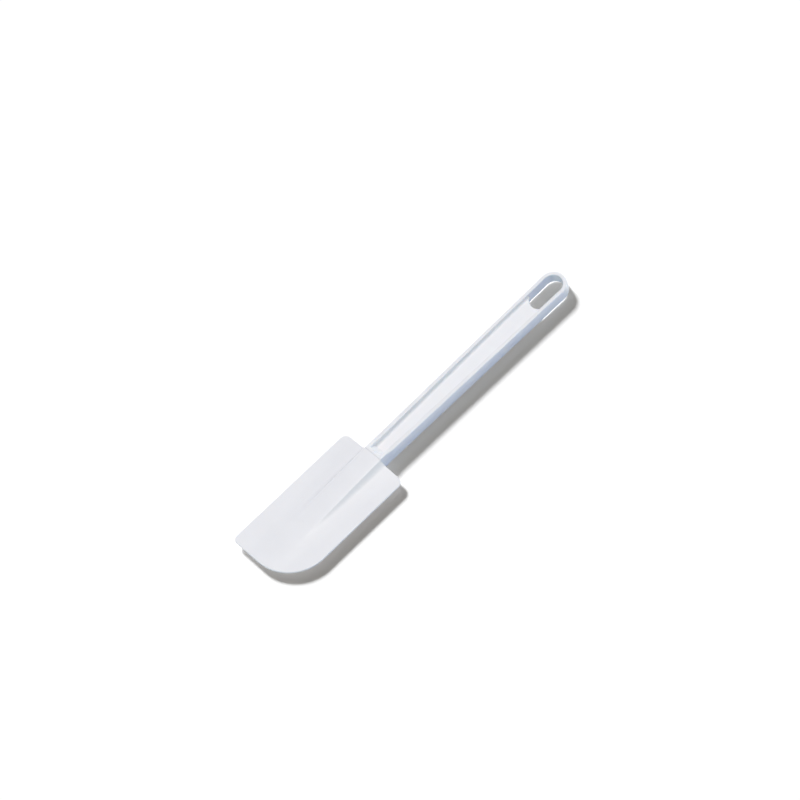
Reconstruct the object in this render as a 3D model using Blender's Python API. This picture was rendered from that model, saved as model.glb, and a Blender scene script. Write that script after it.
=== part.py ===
"""Rubber spatula: a moulded rubber blade on the tang of a moulded plastic handle.

Metres, +Z up. +X runs from the blade's tip to the hanging loop, and +Y towards the blade's square long edge.
The origin is under the middle of the whole spatula, on the surface that it lies on.
"""

import math

import bmesh
import bpy

# Blade: rubber, alike on both faces
BLADE_LENGTH = 0.0892
BLADE_WIDTH = 0.0500
BLADE_ROOT_WIDTH = 0.0494
EDGE_THICKNESS = 0.0014
TIP_CORNER_RADIUS = 0.0035
ROOT_CORNER_RADIUS = 0.0045
SWEEP_LENGTH = 0.0260
SWEEP_WIDTH = 0.0280

# The blade thickens from its edge to the spine beside the boss
SPINE_ROOT_THICKNESS = 0.0038
SPINE_TIP_THICKNESS = 0.0020
FLANK_ROOT_REACH = 0.0210
FLANK_TIP_REACH = 0.0125

# Boss: the blade's socket, flush with the handle's collar at the root
BOSS_LENGTH = 0.0600
BOSS_WIDTH = 0.0134
BOSS_THICKNESS = 0.0102
BOSS_FOOT_ROOT = 0.0050
BOSS_FOOT_END = 0.0020
FOOT_POWER = 2.5

# Tang: the tongue of the handle inside the boss
TANG_LENGTH = 0.0440
TANG_ROOT_WIDTH = 0.0094
TANG_TIP_WIDTH = 0.0070
TANG_ROOT_THICKNESS = 0.0056
TANG_TIP_THICKNESS = 0.0030
TANG_ROUND = 0.0006

# Handle: collar, shank of two rails and a web, and hanging loop
HANDLE_LENGTH = 0.1515
COLLAR_LENGTH = 0.0050
COLLAR_BLEND = 0.0030
SHANK_WIDTH = 0.0142
SHANK_THICKNESS = 0.0087
LOOP_WIDTH = 0.0171
LOOP_THICKNESS = 0.0076
RAIL_WIDTH = 0.0024
RAIL_GAIN = 0.0007
WEB_THICKNESS = 0.0020
RECESS_START = 0.0017
RAMP_LENGTH = 0.0033
RAMP_STEP = 0.0005
SLOT_LENGTH = 0.0232
WEB_END_RADIUS = 0.0065
HANDLE_ROUND = 0.0006

# Fits
TANG_CLEARANCE = 0.0003
SEAT_GAP = 0.0003

# How far a piece joined to another reaches into it, and how far a cutter reaches past what it cuts
JOIN_DEPTH = 0.0010
CUTTER_REACH = 0.0040

# Faces along the round stretches
SWEEP_STEPS = 9
BLADE_STEPS = 12
CORNER_STEPS = 4
LOOP_STEPS = 28
WEB_END_STEPS = 48
EDGE_STEPS = 2

# An edge that folds by more than this is left sharp, or taken as the rim of a face
SHARP_ANGLE = math.radians(30)
RIM_ANGLE = math.radians(45)

# Two places closer than this are one
TOUCHING = 0.000001

OVERALL_LENGTH = BLADE_LENGTH + SEAT_GAP + HANDLE_LENGTH
JOINT_PLACE = (OVERALL_LENGTH / 2 - HANDLE_LENGTH, 0.0, BOSS_THICKNESS / 2)

# Both pieces are drawn about the joint: x is 0 on the collar's face, and z is 0 on the mid-plane.


def between(start, end, share):
    """The value that lies this share of the way from start to end."""
    return start + (end - start) * share


def clipped(value):
    """The value, held between 0 and 1."""
    return min(1.0, max(0.0, value))


def plastic():
    """White polypropylene with a soft gloss."""
    return surface("white_polypropylene", (0.86, 0.87, 0.90, 1.0), 0.38)


def rubber():
    """White rubber, matt."""
    return surface("white_rubber", (0.80, 0.81, 0.84, 1.0), 0.62)


def surface(name, colour, roughness):
    """A Principled material that isn't metal."""
    material = bpy.data.materials.new(name)
    material.use_nodes = True
    shader = material.node_tree.nodes["Principled BSDF"]
    shader.inputs["Base Color"].default_value = colour
    shader.inputs["Roughness"].default_value = roughness
    shader.inputs["Metallic"].default_value = 0.0
    return material


def add_object(name, shape, material=None):
    """A scene object at the joint, made from a bmesh. Without a material it is a guide that isn't built."""
    mesh = bpy.data.meshes.new(name)
    bmesh.ops.recalc_face_normals(shape, faces=shape.faces)
    shape.to_mesh(mesh)
    shape.free()
    item = bpy.data.objects.new(name, mesh)
    item.location = JOINT_PLACE
    bpy.context.scene.collection.objects.link(item)
    if material is None:
        item.hide_render = True
        item.display_type = "WIRE"
    else:
        mesh.materials.append(material)
        mesh.shade_smooth()
        mesh.set_sharp_from_angle(angle=SHARP_ANGLE)
    return item


def combine(item, other, operation):
    """Joins the other object to the item, or cuts it out."""
    modifier = item.modifiers.new(operation.lower() + "_" + other.name, "BOOLEAN")
    modifier.operation = operation
    modifier.object = other
    modifier.solver = "EXACT"


def round_edges(shape, edges, radius):
    """Rounds these edges over."""
    bmesh.ops.bevel(shape, geom=edges, offset=radius, segments=EDGE_STEPS, profile=0.5, affect="EDGES")


def bar(sections, edge_round=0.0):
    """A bar through four-cornered sections, each an x, a half width and a half thickness."""
    shape = bmesh.new()
    rings = []
    for x, half_width, half_thickness in sections:
        low_right = shape.verts.new((x, half_width, -half_thickness))
        low_left = shape.verts.new((x, -half_width, -half_thickness))
        high_left = shape.verts.new((x, -half_width, half_thickness))
        high_right = shape.verts.new((x, half_width, half_thickness))
        rings.append((low_right, low_left, high_left, high_right))
    long_edges = []
    for near, far in zip(rings, rings[1:]):
        for i in range(4):
            shape.faces.new((near[i], near[i - 1], far[i - 1], far[i]))
            long_edges.append(shape.edges.get((near[i], far[i])))
    shape.faces.new(rings[0])
    shape.faces.new(rings[-1])
    if edge_round:
        round_edges(shape, long_edges, edge_round)
    return shape


# The blade


def blade_edges(x):
    """The y of the blade's swept edge and of its square edge at x, before the root's corners are rounded."""
    from_tip = x + SEAT_GAP + BLADE_LENGTH
    half_width = between(BLADE_WIDTH, BLADE_ROOT_WIDTH, from_tip / BLADE_LENGTH) / 2
    swept = -half_width
    if from_tip < SWEEP_LENGTH:
        swept += SWEEP_WIDTH * (1 - math.sqrt(1 - (1 - from_tip / SWEEP_LENGTH) ** 2))
    return swept, half_width - corner_inset(from_tip, TIP_CORNER_RADIUS)


def corner_inset(distance, radius):
    """How far a round corner draws an edge in, this distance from the end that it turns into."""
    if distance >= radius:
        return 0.0
    return radius - math.sqrt(radius**2 - (radius - distance) ** 2)


def blade_stations():
    """Places along x where the blade's section is drawn, closer together round the corners."""
    root = -SEAT_GAP
    tip = root - BLADE_LENGTH
    turn = math.pi / 2
    swept = [tip + SWEEP_LENGTH * (1 - math.cos(turn * i / SWEEP_STEPS)) for i in range(SWEEP_STEPS)]
    start = tip + SWEEP_LENGTH
    end = root - ROOT_CORNER_RADIUS
    straight = [between(start, end, i / BLADE_STEPS) for i in range(BLADE_STEPS)]
    corner = [end + ROOT_CORNER_RADIUS * math.sin(turn * i / CORNER_STEPS) for i in range(CORNER_STEPS + 1)]
    return swept + straight + corner


def blade_columns():
    """Places across the blade where its section has a corner, as shares of the half width."""
    edge = BOSS_WIDTH / 2
    foot = [edge + BOSS_FOOT_ROOT * share for share in (0.0, 0.15, 0.35, 0.6, 1.0)]
    flank = [between(foot[-1], BLADE_WIDTH / 2, share) for share in (0.3, 0.6, 0.85, 1.0)]
    half = [place / (BLADE_WIDTH / 2) for place in foot + flank]
    return [-share for share in reversed(half)] + [0.0] + half


def blade_place(x, share):
    """The y of a column at x. The root's round corners draw in only what lies outside the boss's foot."""
    swept, square = blade_edges(x)
    y = between(swept, square, (share + 1) / 2)
    kept = BOSS_WIDTH / 2 + BOSS_FOOT_ROOT
    edge = max(abs(swept), abs(square))
    if abs(y) <= kept:
        return y
    inset = corner_inset(-x - SEAT_GAP, ROOT_CORNER_RADIUS)
    drawn = between(kept, edge - inset, (abs(y) - kept) / (edge - kept))
    return math.copysign(drawn, y)


def blade_half_thickness(x, y):
    """Half the blade's thickness: edge, then flank, then the boss with its hollow foot."""
    from_root = -SEAT_GAP - x
    share = from_root / BLADE_LENGTH
    side = abs(y) - BOSS_WIDTH / 2
    spine = between(SPINE_ROOT_THICKNESS, SPINE_TIP_THICKNESS, share)
    reach = between(FLANK_ROOT_REACH, FLANK_TIP_REACH, share) - BOSS_WIDTH / 2
    thickness = between(EDGE_THICKNESS, spine, clipped(1 - max(side, 0.0) / reach) ** 2)
    height = clipped(1 - (from_root / BOSS_LENGTH) ** 2)
    foot = between(BOSS_FOOT_END, BOSS_FOOT_ROOT, height)
    rise = (BOSS_THICKNESS - SPINE_ROOT_THICKNESS) * height
    thickness += rise * clipped(1 - max(side, 0.0) / foot) ** FOOT_POWER
    return thickness / 2


def blade_upper_half():
    """A grid laid over the blade's upper face, with its rim carried down to the mid-plane."""
    stations = blade_stations()
    columns = blade_columns()
    shape = bmesh.new()
    bmesh.ops.create_grid(shape, x_segments=len(stations) - 1, y_segments=len(columns) - 1, size=1.0)
    for corner in shape.verts:
        i = round((corner.co.x + 1) / 2 * (len(stations) - 1))
        j = round((corner.co.y + 1) / 2 * (len(columns) - 1))
        x = stations[i]
        y = blade_place(x, columns[j])
        corner.co = (x, y, blade_half_thickness(x, y))
    rim = [edge for edge in shape.edges if edge.is_boundary]
    lowered = bmesh.ops.extrude_edge_only(shape, edges=rim)["geom"]
    for corner in lowered:
        if isinstance(corner, bmesh.types.BMVert):
            corner.co.z = 0.0
    return shape


def tang_sections(clearance):
    """The tang's section at its root and at its tip, grown by a clearance."""
    root = (0.0, TANG_ROOT_WIDTH / 2 + clearance, TANG_ROOT_THICKNESS / 2 + clearance)
    tip = (-TANG_LENGTH - clearance, TANG_TIP_WIDTH / 2 + clearance, TANG_TIP_THICKNESS / 2 + clearance)
    return root, tip


def make_blade():
    """The rubber blade with its socket."""
    blade = add_object("blade", blade_upper_half(), rubber())
    mirror = blade.modifiers.new("lower_half", "MIRROR")
    mirror.use_axis = (False, False, True)
    mirror.use_clip = True
    mirror.merge_threshold = 0.00001
    root, tip = tang_sections(TANG_CLEARANCE)
    mouth = (CUTTER_REACH, root[1], root[2])
    socket = add_object("socket_cutter", bar((mouth, root, tip), TANG_ROUND))
    combine(blade, socket, "DIFFERENCE")


# The handle


def loop_taper():
    """The loop's centre along x, and the angle at which the shank widens to meet the loop's round."""
    radius = LOOP_WIDTH / 2
    centre = HANDLE_LENGTH - radius
    run = centre - COLLAR_LENGTH - COLLAR_BLEND
    lean = math.asin(radius / math.hypot(run, SHANK_WIDTH / 2)) - math.atan2(SHANK_WIDTH / 2, run)
    return centre, lean


def loop_side(x, radius):
    """The y of the straight side that meets a round of this radius about the loop's centre."""
    centre, lean = loop_taper()
    return (radius - (centre - x) * math.sin(lean)) / math.cos(lean)


def loop_outline(start, radius, drawn_in=0.0):
    """Round the loop: from the side's start at -Y, round the end, and back at +Y. The start may be drawn in."""
    centre, lean = loop_taper()
    turn = math.pi / 2 + lean
    angles = [between(-turn, turn, i / LOOP_STEPS) for i in range(LOOP_STEPS + 1)]
    end = [(centre + radius * math.cos(angle), radius * math.sin(angle)) for angle in angles]
    side = loop_side(start, radius) - drawn_in
    return [(start, -side)] + end + [(start, side)]


def handle_half_thickness(x):
    """Half the handle's thickness at x: level collar, short blend, then an even taper to the loop."""
    blend_end = COLLAR_LENGTH + COLLAR_BLEND
    if x <= blend_end:
        return between(BOSS_THICKNESS, SHANK_THICKNESS, clipped((x - COLLAR_LENGTH) / COLLAR_BLEND)) / 2
    return between(SHANK_THICKNESS, LOOP_THICKNESS, (x - blend_end) / (HANDLE_LENGTH - blend_end)) / 2


def plate(outline, half_thickness):
    """A plate with this outline, whose thickness follows x."""
    shape = bmesh.new()
    lower = shape.faces.new([shape.verts.new((x, y, 0.0)) for x, y in outline])
    raised = bmesh.ops.extrude_face_region(shape, geom=[lower])["geom"]
    upper = {item for item in raised if isinstance(item, bmesh.types.BMVert)}
    for corner in shape.verts:
        height = half_thickness(corner.co.x)
        corner.co.z = height if corner in upper else -height
    return shape


def handle_body():
    """Collar, shank and loop as one plate, its faces folded where the collar blends into the shank."""
    blend_end = COLLAR_LENGTH + COLLAR_BLEND
    outline = loop_outline(blend_end, LOOP_WIDTH / 2)
    collar_left = [(COLLAR_LENGTH, BOSS_WIDTH / 2), (0.0, BOSS_WIDTH / 2)]
    collar_right = [(0.0, -BOSS_WIDTH / 2), (COLLAR_LENGTH, -BOSS_WIDTH / 2)]
    shape = plate(collar_right + outline + collar_left, handle_half_thickness)
    for fold in (COLLAR_LENGTH, blend_end):
        for upper in (False, True):
            ends = [v for v in shape.verts if abs(v.co.x - fold) < TOUCHING and (v.co.z > 0) == upper]
            bmesh.ops.connect_verts(shape, verts=ends)
    rim = [edge for edge in shape.edges if is_rim(edge)]
    round_edges(shape, rim, HANDLE_ROUND)
    return shape


def is_rim(edge):
    """Whether an edge borders the handle's upper or lower face, clear of the collar's face."""
    level = edge.verts[0].co.z * edge.verts[1].co.z > 0
    on_collar_face = all(corner.co.x < TOUCHING for corner in edge.verts)
    return level and not on_collar_face and edge.calc_face_angle() > RIM_ANGLE


def web():
    """The thin floor between the rails, with the ramp that ends the recess at the collar."""
    ramp_end = RECESS_START + RAMP_LENGTH
    slot_start = HANDLE_LENGTH - RAIL_WIDTH - SLOT_LENGTH
    stations = (
        (RECESS_START - JOIN_DEPTH / 2, handle_half_thickness(RECESS_START) - RAMP_STEP),
        (RECESS_START, handle_half_thickness(RECESS_START) - RAMP_STEP),
        (ramp_end, WEB_THICKNESS / 2),
        (slot_start + WEB_END_RADIUS, WEB_THICKNESS / 2),
    )
    inner = LOOP_WIDTH / 2 - RAIL_WIDTH
    return bar([(x, loop_side(x, inner) + JOIN_DEPTH, height) for x, height in stations])


def make_handle():
    """The plastic handle with its tang. The rails are wider at the collar than at the loop."""
    handle = add_object("handle", handle_body(), plastic())
    inner = loop_outline(RECESS_START, LOOP_WIDTH / 2 - RAIL_WIDTH, RAIL_GAIN)
    opening = add_object("opening_cutter", plate(inner, lambda x: BOSS_THICKNESS))
    combine(handle, opening, "DIFFERENCE")

    floor = add_object("web_guide", web())
    round_end = bmesh.new()
    bmesh.ops.create_cone(
        round_end,
        cap_ends=True,
        segments=WEB_END_STEPS,
        radius1=WEB_END_RADIUS,
        radius2=WEB_END_RADIUS,
        depth=WEB_THICKNESS + 2 * CUTTER_REACH,
    )
    slot_start = HANDLE_LENGTH - RAIL_WIDTH - SLOT_LENGTH
    bmesh.ops.translate(round_end, verts=round_end.verts, vec=(slot_start + WEB_END_RADIUS, 0.0, 0.0))
    combine(floor, add_object("web_end_cutter", round_end), "DIFFERENCE")
    combine(handle, floor, "UNION")

    root, tip = tang_sections(0.0)
    buried = (JOIN_DEPTH, root[1], root[2])
    combine(handle, add_object("tang_guide", bar((buried, root, tip), TANG_ROUND)), "UNION")


for leftover in list(bpy.data.objects):
    bpy.data.objects.remove(leftover)

make_handle()
make_blade()
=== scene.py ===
"""Looks of the rubber spatula: a soft white blade on the tang of a white plastic handle, lying on a white
table.

Metres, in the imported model's own frame: +X runs from the blade's tip to the hanging loop, and z is 0 on the
table.
"""

import math

import bmesh
import bpy
import numpy as np
from mathutils import Matrix, Vector


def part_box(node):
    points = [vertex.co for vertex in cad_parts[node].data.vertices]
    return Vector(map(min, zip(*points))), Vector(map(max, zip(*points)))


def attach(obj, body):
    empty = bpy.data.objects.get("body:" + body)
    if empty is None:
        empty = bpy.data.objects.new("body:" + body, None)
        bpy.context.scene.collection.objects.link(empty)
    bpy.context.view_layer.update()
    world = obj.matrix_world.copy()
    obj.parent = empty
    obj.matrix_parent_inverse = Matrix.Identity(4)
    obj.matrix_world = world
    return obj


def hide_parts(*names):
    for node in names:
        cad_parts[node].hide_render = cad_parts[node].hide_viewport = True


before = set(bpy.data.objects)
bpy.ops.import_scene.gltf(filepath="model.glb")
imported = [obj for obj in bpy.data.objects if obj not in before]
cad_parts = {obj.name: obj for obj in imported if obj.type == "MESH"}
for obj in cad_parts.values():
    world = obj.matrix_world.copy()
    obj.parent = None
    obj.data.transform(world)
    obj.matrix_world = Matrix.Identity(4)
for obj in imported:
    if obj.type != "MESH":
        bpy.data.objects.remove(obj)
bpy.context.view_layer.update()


# The blade is one piece of soft white rubber, pressed to shape in a two-part mould that parts along its
# mid-plane. Its middle swells into a boss with a blind socket, which is pushed over the handle's tang.

QUARTER_TURN = math.pi / 2

blade_low, blade_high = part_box("blade")
TIP_X = blade_low.x
ROOT_X = blade_high.x
BLADE_LENGTH = ROOT_X - TIP_X
BLADE_HALF_WIDTH = blade_high.y
ROOT_HALF_WIDTH = 0.0247
TIP_CORNER_RADIUS = 0.0035
ROOT_CORNER_RADIUS = 0.0045
SWEEP_LENGTH = 0.0260
SWEEP_WIDTH = 0.0280
MID_PLANE = (blade_low.z + blade_high.z) / 2

EDGE_THICKNESS = 0.0014
SPINE_ROOT_THICKNESS = 0.0043
SPINE_TIP_THICKNESS = 0.0020
SPINE_SOFTNESS = 0.0030
FLANK_ROOT_REACH = 0.0210
FLANK_TIP_REACH = 0.0125
FLANK_POWER = 1.5

BOSS_LENGTH = 0.0600
BOSS_HALF_WIDTH = 0.0067
BOSS_THICKNESS = blade_high.z - blade_low.z
BOSS_FOOT_ROOT = 0.0047
BOSS_FOOT_END = 0.0030
BOSS_END_SOFTNESS = 0.08
BOSS_FALL_POWER = 1.15
FOOT_POWERS = (2.0, 3.0)
SHOULDER_SOFTNESS = 0.0002

RIM_RADIUS = 0.0004
SEAT_RADIUS = 0.00015
FLASH_HEIGHT = 0.00006
FLASH_HALF_WIDTH = 0.00008

SOCKET_MOUTH = (0.0050, 0.0031)
SOCKET_END = (0.0038, 0.0018)
SOCKET_DEPTH = 0.0440
SOCKET_ROUND = 0.0009
SOCKET_LIP = 0.0003
MOUTH_LEVEL = (SOCKET_MOUTH[1] + SOCKET_LIP) / (BOSS_THICKNESS / 2 - SEAT_RADIUS)

# Points closer than this are one
WELD = 0.000001

# Stations along the blade's outline, and points round each rounded edge and the socket's lip
SWEEP_STATIONS = 37
STRAIGHT_STATIONS = 70
CORNER_STATIONS = 17
ROUND_POINTS = 8
LIP_POINTS = 5
SOCKET_FIRST_STATION = 0.004
SOCKET_STATIONS = 12

# Columns across the blade: straight as far as BESIDE_BOSS from the middle, with stops over the shoulder
BESIDE_BOSS = 0.0120
SHOULDER_STOPS = (0.0060, 0.0076)
COLUMN_COUNTS = (8, 6, 5, 16, 14)
OUTER_COLUMNS = 19
OUTER_CROWDING = 0.9

# The rows of the rim's wall, as shares of its half height
RIM_LEVELS = (0.97, 0.85, MOUTH_LEVEL, 0.62, 0.56, 0.48, 0.38, 0.28, 0.20, 0.13, 0.06)


def soft_positive(value, width):
    """The value's positive part, with the corner at 0 rounded: half the sum of the value and of its
    hypotenuse with the rounding's width."""
    return (value + np.hypot(value, width)) / 2


def blade_half_thickness(x, y):
    """Half the blade's thickness at a place on its plan.

    It is the edge's thickness, plus a flank that grows with a power of the nearness to the boss, plus the
    boss. The boss falls with a power of the distance from the root. Its foot falls with a power of the
    distance from the shoulder that grows with the boss's height. The corners of both laws are rounded.
    """
    from_root = ROOT_X - x
    share = from_root / BLADE_LENGTH
    side = np.abs(y) - BOSS_HALF_WIDTH
    spine = SPINE_ROOT_THICKNESS + (SPINE_TIP_THICKNESS - SPINE_ROOT_THICKNESS) * share
    reach = FLANK_ROOT_REACH + (FLANK_TIP_REACH - FLANK_ROOT_REACH) * share - BOSS_HALF_WIDTH
    flank = np.clip(1 - soft_positive(side, SPINE_SOFTNESS) / reach, 0, 1) ** FLANK_POWER
    height = soft_positive(1 - (from_root / BOSS_LENGTH) ** BOSS_FALL_POWER, BOSS_END_SOFTNESS)
    foot = BOSS_FOOT_END + (BOSS_FOOT_ROOT - BOSS_FOOT_END) * height
    power = FOOT_POWERS[0] + (FOOT_POWERS[1] - FOOT_POWERS[0]) * height
    shoulder = np.clip(1 - soft_positive(side, SHOULDER_SOFTNESS) / foot, 0, 1) ** power
    rise = (BOSS_THICKNESS - SPINE_ROOT_THICKNESS) * height * shoulder
    return (EDGE_THICKNESS + (spine - EDGE_THICKNESS) * flank + rise) / 2


def blade_outline():
    """The blade's two long sides, each as places and outward directions, by station from tip to root.

    The swept side is a quarter ellipse, a straight line and a quarter circle. The square side has the same
    stations along x, on a small quarter circle, a straight line and a quarter circle.
    """
    sweep = np.linspace(0, QUARTER_TURN, SWEEP_STATIONS)[:-1]
    straight = np.linspace(SWEEP_LENGTH, BLADE_LENGTH - ROOT_CORNER_RADIUS, STRAIGHT_STATIONS)[:-1]
    corner = np.linspace(0, QUARTER_TURN, CORNER_STATIONS)
    from_tip = np.concatenate([
        SWEEP_LENGTH * (1 - np.cos(sweep)),
        straight,
        BLADE_LENGTH - ROOT_CORNER_RADIUS * (1 - np.sin(corner)),
    ])
    half = BLADE_HALF_WIDTH + (ROOT_HALF_WIDTH - BLADE_HALF_WIDTH) * from_tip / BLADE_LENGTH
    root_turn = np.concatenate([0 * sweep, 0 * straight, corner])
    drawn_in = ROOT_CORNER_RADIUS * (1 - np.cos(root_turn))

    whole_turn = np.append(sweep, np.full(len(from_tip) - len(sweep), QUARTER_TURN))
    before_sweep = SWEEP_WIDTH * (1 - np.sin(whole_turn))
    swept = np.stack([TIP_X + from_tip, before_sweep + drawn_in - half], -1)
    steep = np.stack([-np.cos(sweep) / SWEEP_LENGTH, -np.sin(sweep) / SWEEP_WIDTH], -1)
    swept_out = np.stack([np.sin(root_turn), -np.cos(root_turn)], -1)
    swept_out[: len(sweep)] = steep / np.linalg.norm(steep, axis=1, keepdims=True)

    tip_turn = np.arccos(np.clip(1 - from_tip / TIP_CORNER_RADIUS, 0, 1))
    square = np.stack([TIP_X + from_tip, half - drawn_in - TIP_CORNER_RADIUS * (1 - np.sin(tip_turn))], -1)
    square_out = np.stack([np.sin(root_turn) - np.cos(tip_turn), np.cos(root_turn) * np.sin(tip_turn)], -1)
    return swept, swept_out, square, square_out


def blade_columns():
    """Places across the blade, from -Y to +Y, closest over the shoulder and at the socket's mouth."""
    mouth = SOCKET_MOUTH[0] + SOCKET_LIP
    stops = (0.0, mouth - SOCKET_ROUND, mouth, *SHOULDER_STOPS, BESIDE_BOSS)
    runs = [np.linspace(a, b, n + 1)[1:] for a, b, n in zip(stops, stops[1:], COLUMN_COUNTS)]
    outer_share = np.linspace(0, 1, OUTER_COLUMNS)[1:] ** OUTER_CROWDING
    outer = BESIDE_BOSS + (BLADE_HALF_WIDTH - BESIDE_BOSS) * outer_share
    half = np.concatenate([*runs, outer])
    return np.concatenate([-half[::-1], [0.0], half])


def blade_plan(swept_in, square_in, columns):
    """The plan of the blade's face, stations by columns.

    Towards the tip a column keeps its share of the width. Elsewhere it runs straight beside the boss, and
    is stretched to the edge only outside the boss's foot.
    """
    share = (columns / BLADE_HALF_WIDTH + 1) / 2
    plan = swept_in[:, None] + (square_in - swept_in)[:, None] * share[:, None]
    edge = np.where(columns > 0, square_in[:, 1:], -swept_in[:, 1:])
    outside = np.clip((np.abs(columns) - BESIDE_BOSS) / (BLADE_HALF_WIDTH - BESIDE_BOSS), 0, 1)
    stretched = BESIDE_BOSS + outside * (edge - BESIDE_BOSS)
    straight = np.sign(columns) * np.where(outside > 0, stretched, np.abs(columns))
    from_tip = plan[:, :1, 0] - TIP_X
    turn_over = np.clip(from_tip / SWEEP_LENGTH * 2 - 1, 0, 1) ** 2
    plan[..., 1] += (straight - plan[..., 1]) * turn_over
    return plan


def rim_rows(half_height, radius, flash):
    """From the upper face, over the rounded rim, down the wall and round under: each row's inset from the
    outline and its height over the mid-plane. A thin line of flash stands out on the wall, where the mould
    parts."""
    turn = np.linspace(0, QUARTER_TURN, ROUND_POINTS)[:, None]
    upper = np.array(RIM_LEVELS)
    wall = np.concatenate([upper, [0.0], -upper[::-1]])[:, None] * (half_height - radius)
    arc_inset = radius * (1 - np.sin(turn))
    arc_height = half_height - radius * (1 - np.cos(turn))
    inset = np.vstack([arc_inset, 0 * wall, arc_inset[::-1]])
    height = np.vstack([arc_height, wall, -arc_height[::-1]])
    inset += FLASH_HEIGHT * (1 - flash * np.exp(-(height / FLASH_HALF_WIDTH) ** 2))
    return inset, height


def rim_band(outline, outward, half_height, radius=RIM_RADIUS):
    """The rim's rows carried along a stretch of the outline."""
    flash = 1 - np.clip(outward[:, 0], 0, 1)
    inset, height = rim_rows(half_height, radius + 0 * half_height, flash)
    plan = outline - inset[..., None] * outward
    return np.concatenate([plan, (MID_PLANE + height)[..., None]], -1)


def rounded_box(y, z, half_y, half_z, radius):
    """Points of a box's outline drawn in round its corners: each point keeps its direction from the box
    without its round margin, at the radius from it."""
    core_y = np.clip(y, radius - half_y, half_y - radius)
    core_z = np.clip(z, radius - half_z, half_z - radius)
    away = np.hypot(y - core_y, z - core_z)
    return core_y + (y - core_y) * radius / away, core_z + (z - core_z) * radius / away


def socket_rings(ring_y, ring_z):
    """The socket from its lip to its closed end: the mouth's ring, carried in along x and tapered."""
    lip = np.linspace(0, QUARTER_TURN, LIP_POINTS)
    end = lip[1:]
    bottom = -SOCKET_DEPTH + SOCKET_ROUND
    straight = np.linspace(-SOCKET_FIRST_STATION, bottom, SOCKET_STATIONS)
    depth = np.concatenate([-SOCKET_LIP * (1 - np.cos(lip)), straight])
    share = np.clip(-depth / SOCKET_DEPTH, 0, 1)
    grown = np.concatenate([SOCKET_LIP * (1 - np.sin(lip)), 0 * straight])
    mouth, closed = np.array(SOCKET_MOUTH), np.array(SOCKET_END)
    half = mouth + (closed - mouth) * share[:, None] + grown[:, None]
    half = np.vstack([half, half[-1] - SOCKET_ROUND * (1 - np.cos(end))[:, None], [0.0, 0.0]])
    depth = np.concatenate([depth, bottom - SOCKET_ROUND * np.sin(end), [-SOCKET_DEPTH]])
    y = ring_y / np.abs(ring_y).max() * half[:, :1]
    z = ring_z / np.abs(ring_z).max() * half[:, 1:]
    x = ROOT_X - FLASH_HEIGHT + depth[:, None] + 0 * y
    return np.stack([x, y, MID_PLANE + z], -1)


def root_wall(wall, columns):
    """The blade's root face with the socket's mouth in it, and the socket behind it.

    The face is a grid, and the mouth takes out the middle of it. The grid's points round the mouth are
    drawn into a box with round corners, and the socket's rings start from them.
    """
    half_y, half_z = SOCKET_MOUTH[0] + SOCKET_LIP, SOCKET_MOUTH[1] + SOCKET_LIP
    left, right = np.searchsorted(columns, [-half_y - WELD, half_y - WELD])
    middle = wall.shape[1] // 2
    levels = np.abs(wall[:, middle, 2] - MID_PLANE - half_z)
    top = int(levels.argmin())
    bottom = wall.shape[0] - 1 - top
    across, down = np.arange(left, right), np.arange(top, bottom)
    rows = np.concatenate([top + 0 * across, down, bottom + 0 * across, top + bottom - down])
    places = np.concatenate([across, right + 0 * down, left + right - across, left + 0 * down])
    ring = wall[rows, places]
    ring_y, ring_z = rounded_box(ring[:, 1], ring[:, 2] - MID_PLANE, half_y, half_z, SOCKET_ROUND)
    wall[rows, places, 1] = ring_y
    wall[rows, places, 2] = MID_PLANE + ring_z
    socket = socket_rings(np.append(ring_y, ring_y[0]), np.append(ring_z, ring_z[0]))
    return [
        wall[:, : left + 1],
        wall[:, right:],
        wall[: top + 1, left : right + 1],
        wall[bottom:, left : right + 1],
        socket,
    ]


def sew(name, patches):
    """One closed mesh from patches, each a grid of points. Four neighbouring points carry a face, points
    that lie together become one, and a row drawn together to a point closes as a pole."""
    faces = []
    first = 0
    for patch in patches:
        numbers = first + np.arange(patch.shape[0] * patch.shape[1]).reshape(patch.shape[:2])
        faces.append(np.stack([numbers[:-1, :-1], numbers[1:, :-1], numbers[1:, 1:], numbers[:-1, 1:]], -1))
        first += numbers.size
    points = np.vstack([patch.reshape(-1, 3) for patch in patches])
    mesh = bpy.data.meshes.new(name)
    mesh.from_pydata(points.tolist(), [], np.vstack([face.reshape(-1, 4) for face in faces]).tolist())
    shape = bmesh.new()
    shape.from_mesh(mesh)
    bmesh.ops.remove_doubles(shape, verts=shape.verts, dist=WELD)
    bmesh.ops.recalc_face_normals(shape, faces=shape.faces)
    shape.to_mesh(mesh)
    shape.free()
    mesh.shade_smooth()
    return mesh


def add_piece(name, mesh, body, node):
    """A piece of the spatula that rides on its body and stands for its plain solid."""
    piece = bpy.data.objects.new(name, mesh)
    bpy.context.scene.collection.objects.link(piece)
    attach(piece, body)
    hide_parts(node)
    return piece


swept, swept_out, square, square_out = blade_outline()
columns = blade_columns()
margin = RIM_RADIUS + FLASH_HEIGHT
plan = blade_plan(swept - margin * swept_out, square - margin * square_out, columns)
on_boss = 1 - np.clip(np.abs(plan[-1, :, 1]) / BOSS_HALF_WIDTH - 1, 0, 1)
root_radius = RIM_RADIUS + (SEAT_RADIUS - RIM_RADIUS) * on_boss
plan[-1, :, 0] += RIM_RADIUS - root_radius
rise = blade_half_thickness(plan[..., 0], plan[..., 1])
blade_faces = [np.concatenate([plan, (MID_PLANE + side)[..., None]], -1) for side in (rise, -rise)]

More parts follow.
